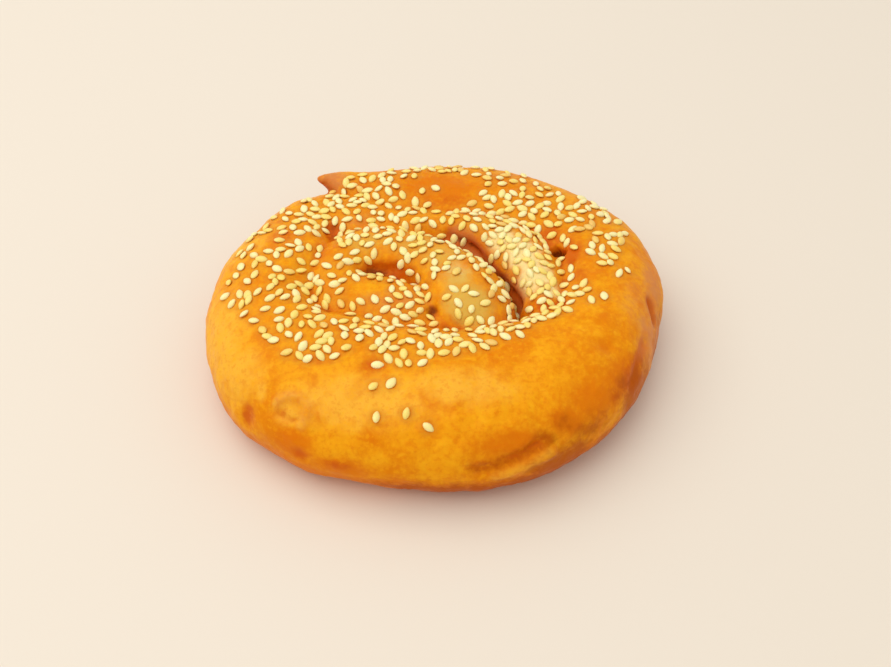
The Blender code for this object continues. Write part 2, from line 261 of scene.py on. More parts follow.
def coil_rows():
    rows = []
    for turned in range(ROPE_FROM, ROPE_TO + 1, ROPE_STEP):
        angle = TAIL_ANGLE - turned
        inner = value_at(SEAM, turned) - value_at(SEAM, turned, 2)
        under_tail = ease((turned - UNDER_TAIL_FROM) / (UNDER_TAIL_TO - UNDER_TAIL_FROM))
        covered = value_at(SEAM, turned - 360) + value_at(SEAM, turned - 360, 2)
        outer = outline_radius(angle) * (1 - under_tail) + covered * under_tail
        middle, half_width = (outer + inner) / 2, (outer - inner) / 2
        way = math.radians(angle)
        x, y = middle * math.cos(way), middle * math.sin(way)
        rows.append((x, y, half_width, value_at(CREST, turned), UNDERSIDE))
    return rows


def filled_path(rows):
    """A path's rows with more rows between them, on smooth curves."""
    stations = [(i, *row) for i, row in enumerate(rows)]
    count = (len(rows) - 1) * PATH_STEPS
    columns = range(1, len(stations[0]))
    return [[value_at(stations, i / PATH_STEPS, c) for c in columns] for i in range(count + 1)]


print("rows along the coil:", len(coil_rows()), "and over the middle:", len(filled_path(LAST_STRETCH)))

# %% [markdown]
# ## Drawing the rope
# A rope could be a curve with a bevel, but a curve's section can't be wider than high, lean, or be squarer
# on one side. So one ring is made with create_circle, squared a little, and then drawn on from frame to
# frame with extrude_edge_only, as clay comes out of a press. Smaller rings dome the two ends.

# %% Sections along the rope
ROPE_SIDES = 36
# the domed ends: their length in half widths, and where along it the smaller rings stand
END_LENGTH = 0.8
END_SHARES = (0.5, 0.85)


def section_frames(rows):
    """A matrix for each section along a path, with smaller ones that dome its two ends."""
    places = [Vector((row[0], row[1], 0)) * MM for row in rows]
    last = len(rows) - 1
    dome = [(share * END_LENGTH, math.sqrt(1 - share**2)) for share in END_SHARES]
    sections = [(0, -shift, shrink) for shift, shrink in reversed(dome)]
    sections += [(i, 0, 1) for i in range(len(rows))]
    sections += [(last, shift, shrink) for shift, shrink in dome]
    frames = []
    for i, shift, shrink in sections:
        _, _, half_width, top, bottom = rows[i]
        along = (places[min(i + 1, last)] - places[max(i - 1, 0)]).normalized()
        across = Vector((along.y, -along.x, 0))
        wide = half_width * MM
        half_height = (top - bottom) / 2 * MM
        level = Vector((0, 0, (top + bottom) / 2 * MM))
        turn = Matrix((across, along, (0, 0, 1))).transposed().to_4x4()
        size = Matrix.Diagonal((wide * shrink, 1, half_height * shrink, 1))
        size[2][0] = LEAN * wide * shrink
        frames.append(Matrix.Translation(places[i] + level + along * (shift * wide)) @ turn @ size)
    return frames


print("sections of the tail:", len(section_frames(filled_path(TAIL))))

# %% Ropes and the pressed middle
CORE_RADIUS = 46.0 * MM
CORE_TOP = 14.0
CORE_SQUARENESS = 4.0


def squared(value, squareness):
    """A coordinate of a round shape of radius 1, moved out towards a square one; 2 leaves it round."""
    return math.copysign(abs(value) ** (2 / squareness), value)


def add_rope(bm, rows, outer_squareness):
    """A closed rope along a path: one rounded section, drawn on from frame to frame."""
    frames = section_frames(rows)
    ring = bmesh.ops.create_circle(bm, segments=ROPE_SIDES, radius=1)["verts"]
    for vert in ring:
        squareness = INNER_SQUARENESS if vert.co.x > 0 else outer_squareness
        vert.co = (squared(vert.co.x, squareness), 0, squared(vert.co.y, squareness))
    bmesh.ops.transform(bm, matrix=frames[0], verts=ring)
    edges = list({edge for vert in ring for edge in vert.link_edges})
    bmesh.ops.edgeloop_fill(bm, edges=edges)
    for before, after in zip(frames, frames[1:]):
        drawn = bmesh.ops.extrude_edge_only(bm, edges=edges)["geom"]
        verts = [item for item in drawn if isinstance(item, bmesh.types.BMVert)]
        edges = [item for item in drawn if isinstance(item, bmesh.types.BMEdge)]
        bmesh.ops.transform(bm, matrix=after @ before.inverted(), verts=verts)
    bmesh.ops.edgeloop_fill(bm, edges=edges)


def add_core(bm):
    """The pressed middle under the turns: a ball, flattened and squared off."""
    half_height = (CORE_TOP - UNDERSIDE) / 2 * MM
    ball = bmesh.ops.create_uvsphere(bm, u_segments=64, v_segments=32, radius=1)["verts"]
    for vert in ball:
        vert.co.z = squared(vert.co.z, CORE_SQUARENESS)
    bmesh.ops.scale(bm, verts=ball, vec=(CORE_RADIUS, CORE_RADIUS, half_height))
    bmesh.ops.translate(bm, verts=ball, vec=(0, 0, UNDERSIDE * MM + half_height))


dough_mesh = bmesh.new()
add_rope(dough_mesh, coil_rows(), OUTER_SQUARENESS)
add_rope(dough_mesh, filled_path(TAIL), OUTER_SQUARENESS)
add_rope(dough_mesh, filled_path(LIP), OUTER_SQUARENESS)
add_rope(dough_mesh, filled_path(LAST_STRETCH), INNER_SQUARENESS)
add_core(dough_mesh)
bmesh.ops.translate(dough_mesh, verts=dough_mesh.verts[:], vec=AXIS)
bmesh.ops.recalc_face_normals(dough_mesh, faces=dough_mesh.faces[:])
print("rope faces before pressing:", len(dough_mesh.faces))

# %% [markdown]
# ## Pressing the turns into one skin
# Fried dough shows no clean cut between its turns: they have grown together. A voxel remesh does just
# that. It takes everything that is inside any of the ropes as one body and wraps it in even little
# squares, which are also what the fine relief needs. The modifier is applied at once, because the relief
# works on its result.

# %% Helpers for objects and their meshes


def object_from(bm, name):
    mesh = bpy.data.meshes.new(name)
    bm.to_mesh(mesh)
    bm.free()
    made = bpy.data.objects.new(name, mesh)
    bpy.context.scene.collection.objects.link(made)
    return made


def apply_modifiers(made):
    graph = bpy.context.evaluated_depsgraph_get()
    shaped = bpy.data.meshes.new_from_object(made.evaluated_get(graph))
    made.modifiers.clear()
    made.data = shaped


def walls_of(bm):
    """The separate walls of a mesh, each a set of vertices, with the smallest first."""
    left = set(bm.verts)
    walls = []
    while left:
        reached = [left.pop()]
        wall = set(reached)
        while reached:
            for edge in reached.pop().link_edges:
                new_ones = left.intersection(edge.verts)
                left -= new_ones
                wall |= new_ones
                reached += new_ones
        walls.append(wall)
    return sorted(walls, key=len)


print("mesh helpers ready")

# %% One skin
VOXEL = 0.63 * MM
SEAM_SOFTENING = 10
SOFTENING_SHARE = 0.5

dough = object_from(dough_mesh, "fried_dough")
remesh = dough.modifiers.new("one_skin", "REMESH")
remesh.mode = "VOXEL"
remesh.voxel_size = VOXEL
soften = dough.modifiers.new("soft_seams", "SMOOTH")
soften.factor = SOFTENING_SHARE
soften.iterations = SEAM_SOFTENING
apply_modifiers(dough)

skin = bmesh.new()
skin.from_mesh(dough.data)
walls = walls_of(skin)
for hollow in walls[:-1]:
    bmesh.ops.delete(skin, geom=list(hollow), context="VERTS")
for face in skin.faces:
    face.smooth = True
skin.to_mesh(dough.data)
skin.free()
print("skin faces:", len(dough.data.polygons), "and hollows dropped:", len(walls) - 1)

# %% [markdown]
# ## Soft spots and soft lines
# A coil of dough never swells evenly, and hot oil raises blisters and puckers. Each kind of unevenness is
# a push along the skin's normal. Two simple fields tell where to push: a soft spot and a soft line, both 1
# in the middle and fading to 0 away from it. A line fades at its ends too, because a crease in dough never
# ends like a cut. They work on all points at once with numpy, which is far quicker than a loop.

# %% Soft spots and soft lines
# over how many millimetres a line fades at each end
END_FADE = 3.5


def spot_at(points, place, reach):
    """1 at a place, fading to 0 over the reach along X, Y and Z."""
    off = (points - place) / reach
    return np.exp(-(off**2).sum(axis=1))


def line_at(points, width, path):
    """1 on a path of straight stretches, fading to 0 over the width and at both ends."""
    nearest = np.full(len(points), np.inf)
    way = np.zeros(len(points))
    done = 0.0
    for start, end in zip(path, path[1:]):
        stretch = np.subtract(end, start)
        length = math.sqrt(stretch @ stretch)
        share = np.clip((points - start) @ stretch / length**2, 0, 1)
        off = points - start - share[:, None] * stretch
        away = (off**2).sum(axis=1)
        way = np.where(away < nearest, done + share * length, way)
        nearest = np.minimum(nearest, away)
        done += length
    from_end = np.clip(np.minimum(way, done - way) / min(END_FADE, done / 3), 0, 1)
    return np.exp(-nearest / width**2) * from_end * (2 - from_end)


def points_of(mesh, what="co"):
    """A mesh's points or normals as rows of three numbers."""
    rows = np.empty(len(mesh.vertices) * 3, dtype=np.float32)
    mesh.vertices.foreach_get(what, rows)
    return rows.reshape(-1, 3).astype(float)


def push_out(mesh, pushes):
    """Moves each point along its normal by a number of millimetres, and keeps the underside flat."""
    points = points_of(mesh) + points_of(mesh, "normal") * (pushes[:, None] * MM)
    points[:, 2] = np.maximum(points[:, 2], 0)
    mesh.vertices.foreach_set("co", points.astype(np.float32).ravel())
    mesh.update()


print("fields ready")

# %% [markdown]
# ## Creases
# Where the rope was folded or pressed against its neighbour, the skin dips in a line: the crevice and the
# pocket in the middle, a small hole at the back right, a long fold low on the front and two creases on the
# right side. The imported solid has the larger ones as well, but coarser. Each line is a few places on the
# skin, so one table can say how deep and how wide its crease is, and the colours can use it again later.

# %% Lines of the creases
CREVICE = (
    (1.5, 18.6, 24.6),
    (4.9, 17.6, 23.6),
    (7.7, 16.5, 23.0),
    (10.7, 14.2, 21.1),
    (13.7, 10.5, 20.0),
    (18.4, 2.5, 19.0),
    (22.0, -2.4, 18.0),
    (23.6, -7.5, 19.0),
)
POCKET = ((-19.5, 5.3, 23.6), (-13.8, 5.2, 23.6), (-8.3, 4.2, 24.5))
PINHOLE = ((31.7, 14.0, 23.2), (33.4, 11.8, 23.3), (35.8, 10.4, 24.3))
INNER_FOOT = ((25.2, -9.8, 22.3), (28.4, -10.6, 25.0), (32.4, -9.3, 25.3), (36.2, -8.8, 26.4))
FOLD = (
    (6.5, -54.5, 15.8),
    (12.3, -54.1, 14.9),
    (15.7, -53.2, 15.7),
    (19.5, -52.0, 16.4),
    (23.4, -50.1, 17.5),
    (28.0, -48.0, 17.9),
)
LEDGE = ((12.5, -54.6, 11.9), (18.2, -53.2, 12.8), (23.0, -51.6, 14.3), (29.9, -48.5, 15.7))
WRINKLE = ((-39.6, -41.0, 20.0), (-37.8, -42.2, 19.8), (-35.0, -43.4, 20.0), (-32.4, -43.6, 20.8))
KNUCKLE = (
    (-39.9, -40.4, 19.9),
    (-38.5, -38.9, 22.0),
    (-35.6, -38.4, 23.3),
    (-32.8, -39.4, 23.4),
    (-30.7, -41.4, 22.8),
    (-30.6, -43.3, 21.5),
    (-32.0, -44.6, 20.0),
    (-34.6, -45.0, 18.6),
)
SIDE_CREASE = ((56.4, -2.5, 22.0), (56.8, -5.4, 21.2), (57.5, -8.2, 19.5), (57.7, -11.5, 17.0))
SIDE_FOLD = ((54.5, -16.0, 20.0), (52.6, -22.4, 19.7), (50.4, -26.9, 18.6), (47.7, -31.4, 17.0))
TEAR = ((9.6, -54.9, 13.6), (11.4, -54.9, 12.2))
# how far the skin stands out on a line, its width, the line
CREASES = (
    (-1.3, 1.6, CREVICE),
    (-1.1, 1.5, POCKET),
    (-3.2, 0.9, PINHOLE),
    (-0.7, 1.3, INNER_FOOT),
    (-0.8, 2.2, FOLD),
    (-0.30, 1.0, FOLD),
    (1.1, 2.0, LEDGE),
    (0.60, 1.1, KNUCKLE),
    (-0.60, 0.7, WRINKLE),
    (-0.70, 1.2, SIDE_CREASE),
    (-0.55, 1.6, SIDE_FOLD),
    (-0.6, 0.6, TEAR),
)
print("creases:", len(CREASES))

# %% [markdown]
# ## Puckers and lumps
# Dents and swellings that have no direction are soft spots. Between them the whole skin is lumpy, in waves
# from 16 mm down to 1.5 mm, each made by one noise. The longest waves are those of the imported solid. The
# same noise varies the depth of the creases, so that none looks ruled.

# %% Puckers and lumps
# how far the skin stands out on a spot, its place, its reach along X, Y and Z
PUCKERS = {
    "dimple in the knuckle": (-0.45, (-37.6, -41.0, 20.4), (2.2, 1.6, 1.6)),
    "dent at the left corner": (-0.80, (-46.8, -38.6, 15.5), (2.6, 2.6, 3.5)),
    "dent low on the left": (-0.50, (-33.5, -48.5, 13.5), (3.5, 2.0, 2.0)),
    "bulge of the right side": (0.60, (61.0, 3.0, 17.0), (4.0, 7.0, 6.0)),
    "dip at the front right": (-0.60, (42.6, -24.2, 25.6), (3.5, 2.5, 3.0)),
    "floor of the crevice's end": (2.00, (23.8, -7.5, 17.5), (3.2, 3.0, 6.0)),
    "hollow right of the strand": (-0.80, (36.5, 6.5, 25.0), (1.2, 1.4, 2.5)),
    "hollow behind the small hole": (-0.50, (33.0, 16.0, 24.5), (2.6, 2.6, 2.6)),
    "hollow at the left seam": (-0.90, (-29.5, 22.0, 23.5), (2.2, 3.4, 3.0)),
    "hollow before the lobe": (-1.00, (-1.0, -11.5, 24.5), (1.6, 2.0, 2.5)),
    "dip before the seeds": (-0.35, (-16.0, -31.5, 27.0), (4.0, 1.6, 2.5)),
    "swelling right of the strand": (0.35, (41.5, -2.0, 26.5), (3.0, 5.0, 3.0)),
    "crown of the lobe": (0.35, (9.0, -12.0, 27.0), (6.0, 6.0, 4.0)),
    "crown of the pale strand": (0.45, (26.0, 3.0, 26.0), (4.0, 9.0, 4.0)),
    "bare band at the back": (-0.45, (2.0, 33.0, 26.5), (12.0, 3.5, 4.0)),
}
# height and length of the waves
SWELL = (0.5, 16.0)
LUMPS = ((0.30, 7.5), (0.22, 3.4), (0.10, 1.5))
# by how much of itself a crease's depth varies, and over what length
BREAK_SHARE = 0.8
BREAK_LENGTH = 4.5


def waves_at(points, length):
    """Noise between about -1 and 1, with waves of a length in millimetres."""
    return np.array([noise.noise(Vector(point) / length) for point in points])


push_out(dough.data, SWELL[0] * waves_at(points_of(dough.data) / MM, SWELL[1]))
points = points_of(dough.data) / MM
relief = sum(height * waves_at(points, length) for height, length in LUMPS)
breaks = 1 + BREAK_SHARE * waves_at(points, BREAK_LENGTH)
relief += breaks * sum(height * line_at(points, width, path) for height, width, path in CREASES)
relief += sum(height * spot_at(points, place, reach) for height, place, reach in PUCKERS.values())
push_out(dough.data, relief)
print("relief, mm, from", round(relief.min(), 2), "to", round(relief.max(), 2))

# %% [markdown]
# ## Where the seeds lie
# The seeds were thrown on the wet dough by hand: thick over the middle, thin to the edges, none on the
# front. A fair way to get that look is to draw many random places and keep those that pass three tests.
# The place is inside the sown area, its neighbours aren't in the way, and a chance says yes. That chance
# has slow waves, which make the clumps, and it follows the photograph where seeds are thick or missing.

# %% The sown area
# x, and the front limit of the sown area there
SOWN_FRONT = (
    (-58, -3.0),
    (-50, -16.0),
    (-40, -27.5),
    (-26, -30.0),
    (-6, -32.0),
    (6, -29.0),
    (18, -24.0),
    (26, -19.5),
    (38, -12.0),
    (48, -4.0),
    (56, 8.0),
)
# how far the seeds stay from the outline
SEED_RIM = 6.5
# x, y, half width, half depth, and how thick the seeds lie there, where 1 is as elsewhere
DENSITIES = {
    "bare band at the back": (1.5, 36.5, 15.0, 6.8, 0.04),
    "crevice, upper end": (9.0, 15.5, 3.5, 2.2, 0.15),
    "crevice, middle": (14.0, 9.5, 2.4, 4.0, 0.15),
    "crevice, lower end": (18.5, 2.5, 2.2, 4.0, 0.2),
    "right of the strand": (41.0, -1.0, 5.5, 9.0, 0.12),
    "beside the small hole": (36.0, 11.0, 5.0, 6.0, 0.05),
    "small hole": (33.0, 12.5, 3.2, 3.0, 0.0),
    "between strand and rim": (38.0, 2.0, 4.0, 6.0, 0.15),
    "behind the small hole": (33.0, 18.5, 4.5, 4.0, 0.3),
    "front of the lobe": (7.5, -13.0, 5.0, 5.0, 0.12),
    "right foot of the lobe": (17.0, -15.0, 5.0, 3.5, 0.15),
    "pale strand": (23.0, 6.0, 8.0, 12.0, 3.5),
    "behind the crevice": (12.0, 21.0, 12.0, 5.0, 1.8),
    "back of the lobe": (0.0, 8.0, 9.0, 8.0, 2.0),
    "inner turn, back": (-16.0, 15.0, 12.0, 5.0, 2.2),
    "row along the front": (-14.0, -22.0, 20.0, 5.0, 1.6),
    "left seam": (-30.5, 12.0, 3.0, 9.0, 0.2),
    "red spot at the left": (-42.0, 15.0, 5.0, 6.0, 0.3),
    "pocket": (-13.0, 4.0, 7.0, 2.5, 0.1),
    "seam at the left front": (-27.0, -13.0, 12.0, 3.5, 0.3),
    "seam at the front": (-8.0, -16.0, 10.0, 3.0, 0.35),
    "red spot at the front": (-15.0, -32.0, 4.0, 3.0, 0.2),
    "edge at the left front": (-47.0, -22.0, 8.0, 6.0, 0.45),
    "edge at the back right": (40.0, 36.0, 14.0, 8.0, 0.5),
    "edge behind the strand": (22.0, 42.0, 14.0, 6.0, 0.35),
    "right flank": (63.0, 12.0, 14.0, 30.0, 0.0),
    "left flank": (-48.0, 2.0, 12.0, 30.0, 0.4),
    "before the tail": (-34.0, 28.0, 8.0, 8.0, 0.6),
}
# over which part of its half width an oval fades
OVAL_FROM = 0.7
OVAL_FADE = 0.6
# the chance of a seed: its mean, its waves, their length, and the level at which the noise is read
EVEN_CHANCE = 0.75
CLUMP_CHANCE = 1.5
CLUMP_LENGTH = 7.0
CLUMP_LEVEL = 4.4


def sown_share(x, y):
    """The chance that a random place keeps its seed."""
    from_axis = Vector((x, y)) - AXIS.xy / MM
    rim = outline_radius(math.degrees(math.atan2(from_axis.y, from_axis.x)))
    if from_axis.length > rim - SEED_RIM or y < value_at(SOWN_FRONT, x):
        return 0.0
    share = EVEN_CHANCE + CLUMP_CHANCE * noise.noise(Vector((x, y, CLUMP_LEVEL)) / CLUMP_LENGTH)
    for spot_x, spot_y, half_width, half_depth, left in DENSITIES.values():
        off = math.hypot((x - spot_x) / half_width, (y - spot_y) / half_depth)
        share *= left + (1 - left) * ease((off - OVAL_FROM) / OVAL_FADE)
    return share


print("chance of a seed in the middle:", round(sown_share(0, 0), 2))

# %% [markdown]
# ## Laying a seed down
# A seed is laid where a line straight down meets the skin. Two seeds may touch, and now and then lie a
# little on each other, but never in the same place. On the plan a seed counts as two round halves, and the
# halves of all seeds are kept in square cells, so that only the nearest ones have to be compared.

# %% Laying a seed down
SEED_LENGTH = 3.15
SEED_WIDTH = 2.05
SEED_OVERLAP = 0.55
# seeds slide off where the skin's normal rises less than this
SEED_STEEPEST = 0.3
DROP_HEIGHT = 60.0

surface = BVHTree.FromObject(dough, bpy.context.evaluated_depsgraph_get())
sown_cells = {}
seed_places = []


def seed_middles(x, y, heading):
    """The middles of a seed's two round halves on the plan."""
    reach = Vector((math.cos(heading), math.sin(heading))) * ((SEED_LENGTH - SEED_WIDTH) / 2)
    return Vector((x, y)) - reach, Vector((x, y)) + reach


def cell_of(place):
    return math.floor(place.x / SEED_LENGTH), math.floor(place.y / SEED_LENGTH)


def is_free(middles):
    """True where a seed would hardly lie in a seed that is there already."""
    for middle in middles:
        column, row = cell_of(middle)
        for near in ((column + i, row + j) for i in (-1, 0, 1) for j in (-1, 0, 1)):
            for other in sown_cells.get(near, ()):
                if (middle - other).length < SEED_WIDTH - SEED_OVERLAP:
                    return False
    return True


def sow(x, y, heading):
    """Lays a seed on the skin, unless it would slide off or lie in another."""
    spot, normal, _, _ = surface.ray_cast(Vector((x, y, DROP_HEIGHT)) * MM, Vector((0, 0, -1)))
    middles = seed_middles(x, y, heading)
    if spot is None or normal.z < SEED_STEEPEST or not is_free(middles):
        return
    for middle in middles:
        sown_cells.setdefault(cell_of(middle), []).append(middle)
    seed_places.append((spot, normal, heading))


print("ready to sow")

# %% [markdown]
# ## Sowing
# The few seeds that fell on the bare front come first, each in its own place. Then a wide throw covers
# the top, and a second, narrow one thickens the seeds on the pale strand. All draws come from one seeded
# generator, so each run sows alike.

# %% Sowing
SEED_DRAW = 5
# x, y and heading of the few seeds that fell on the bare front
LONE_SEEDS = (
    (-14.9, -37.9, 60),
    (-10.6, -37.2, 75),
    (-14.0, -45.4, 80),
    (-6.8, -45.0, 85),
    (-1.5, -48.0, -35),
)
# the wide throw: how many seeds, how many tries, and how far it reaches along X and Y
SEED_COUNT = 620
SEED_TRIES = 40000
THROW_X = (-60, 60)
THROW_Y = (-45, 58)
# the narrow throw: how many seeds, how many tries, and its middle and spread along X and Y
STRAND_SEEDS = 40
STRAND_TRIES = 6000
STRAND_X = (23.5, 4.5)
STRAND_Y = (5.5, 9.0)

draw = random.Random(SEED_DRAW)
for x, y, heading in LONE_SEEDS:
    sow(x, y, math.radians(heading))
for _ in range(SEED_TRIES):
    x, y = draw.uniform(*THROW_X), draw.uniform(*THROW_Y)
    heading = draw.uniform(0, 2 * math.pi)
    if len(seed_places) < SEED_COUNT and draw.random() < sown_share(x, y):
        sow(x, y, heading)
for _ in range(STRAND_TRIES):
    x, y = draw.gauss(*STRAND_X), draw.gauss(*STRAND_Y)
    heading = draw.uniform(0, 2 * math.pi)
    if len(seed_places) < SEED_COUNT + STRAND_SEEDS and draw.random() < sown_share(x, y):
        sow(x, y, heading)
print("seeds sown:", len(seed_places))

# %% [markdown]
# ## One sesame seed
# A hulled sesame seed is a flat drop, about 3 mm long, with a blunt and a pointed end. It is modelled as a
# small ball, stretched and pinched towards one end. There are hundreds, so each has only a few dozen
# faces, and all are joined in one mesh. Every seed differs a little in size, tilt and colour. Its colour
# and its pointed end are kept in two attributes that the material reads.

# %% Sesame seeds
SEED_THICKNESS = 1.05
SEED_SINK = 0.22
SEED_TILT = math.radians(9)
SEED_SPREAD = 0.06
WIDTH_RANGE = (0.92, 1.08)
# how much slimmer the pointed and the blunt end get, and how suddenly the point starts
POINT_PINCH = 0.34
BLUNT_PINCH = 0.08
POINT_POWER = 1.5
# how suddenly the pointed end darkens
END_POWER = 3


def seed_slimness(along):
    """A seed's width at a place from -1 at its blunt end to 1 at its point, as a share of a ball's."""
    return 1 - POINT_PINCH * max(along, 0) ** POINT_POWER - BLUNT_PINCH * max(-along, 0)


def make_seed(mesh, spot, normal, heading):
    """Writes one seed, where it lies, into a mesh."""
    bm = bmesh.new()
    tone_layer = bm.verts.layers.float.new("seed_tone")
    end_layer = bm.verts.layers.float.new("seed_end")
    ball = bmesh.ops.create_uvsphere(bm, u_segments=8, v_segments=7, radius=0.5)["verts"]
    size = draw.gauss(1.0, SEED_SPREAD)
    length, width = SEED_LENGTH * size, SEED_WIDTH * size * draw.uniform(*WIDTH_RANGE)
    tone = draw.random()
    for vert in ball:
        along = vert.co.z * 2
        slim = seed_slimness(along)
        vert[tone_layer] = tone
        vert[end_layer] = max(along, 0.0) ** END_POWER
        vert.co = Vector((vert.co.z * length, vert.co.x * slim * width, vert.co.y * slim * SEED_THICKNESS))
    roll = Matrix.Rotation(draw.gauss(0, SEED_TILT), 3, "X")
    pitch = Matrix.Rotation(draw.gauss(0, SEED_TILT), 3, "Y")
    on_skin = normal.to_track_quat("Z", "Y").to_matrix() @ Matrix.Rotation(heading, 3, "Z")
    bmesh.ops.scale(bm, verts=ball, vec=(MM, MM, MM))
    lifted = Matrix.Translation(spot + normal * ((SEED_THICKNESS / 2 - SEED_SINK) * MM))
    bmesh.ops.transform(bm, matrix=lifted @ (on_skin @ (roll @ pitch)).to_4x4(), verts=ball)
    bm.to_mesh(mesh)
    bm.free()


seed_mesh = bmesh.new()
one_seed = bpy.data.meshes.new("one_seed")
for place in seed_places:
    make_seed(one_seed, *place)
    seed_mesh.from_mesh(one_seed)
bpy.data.meshes.remove(one_seed)
bmesh.ops.recalc_face_normals(seed_mesh, faces=seed_mesh.faces[:])
for face in seed_mesh.faces:
    face.smooth = True
seeds = object_from(seed_mesh, "sesame_seeds")
print("seed faces:", len(seeds.data.polygons))

# %% [markdown]
# ## Seeds pressed into the skin
# Each seed sits in a shallow dent with a slight rim, because the coil was pressed after it was sown. The
# dents are small pushes on the skin's vertices near each seed. A KD-tree finds those vertices at once,
# where a search through all of them would take minutes.

# %% Dents under the seeds
DENT_REACH = 2.6
DENT_DEPTH = 0.34
DENT_WIDTH = 0.95
RIM_HEIGHT = 0.10
RIM_RADIUS = 1.75
RIM_WIDTH = 0.45

skin = bmesh.new()
skin.from_mesh(dough.data)
skin.verts.ensure_lookup_table()
skin_tree = KDTree(len(skin.verts))
for i, vert in enumerate(skin.verts):
    skin_tree.insert(vert.co, i)
skin_tree.balance()
dents = {}
for spot, normal, heading in seed_places:
    for _, i, away in skin_tree.find_range(spot, DENT_REACH * MM):
        off = away / MM
        dent = -DENT_DEPTH * math.exp(-((off / DENT_WIDTH) ** 2))
        rim = RIM_HEIGHT * math.exp(-(((off - RIM_RADIUS) / RIM_WIDTH) ** 2))
        dents[i] = min(dents.get(i, 0.0), dent) if dent < -rim else max(dents.get(i, 0.0), rim)
for i, push in dents.items():
    vert = skin.verts[i]
    vert.co += vert.normal * (push * MM)
    vert.co.z = max(vert.co.z, 0.0)
skin.to_mesh(dough.data)
skin.free()
print("dented points:", len(dents))
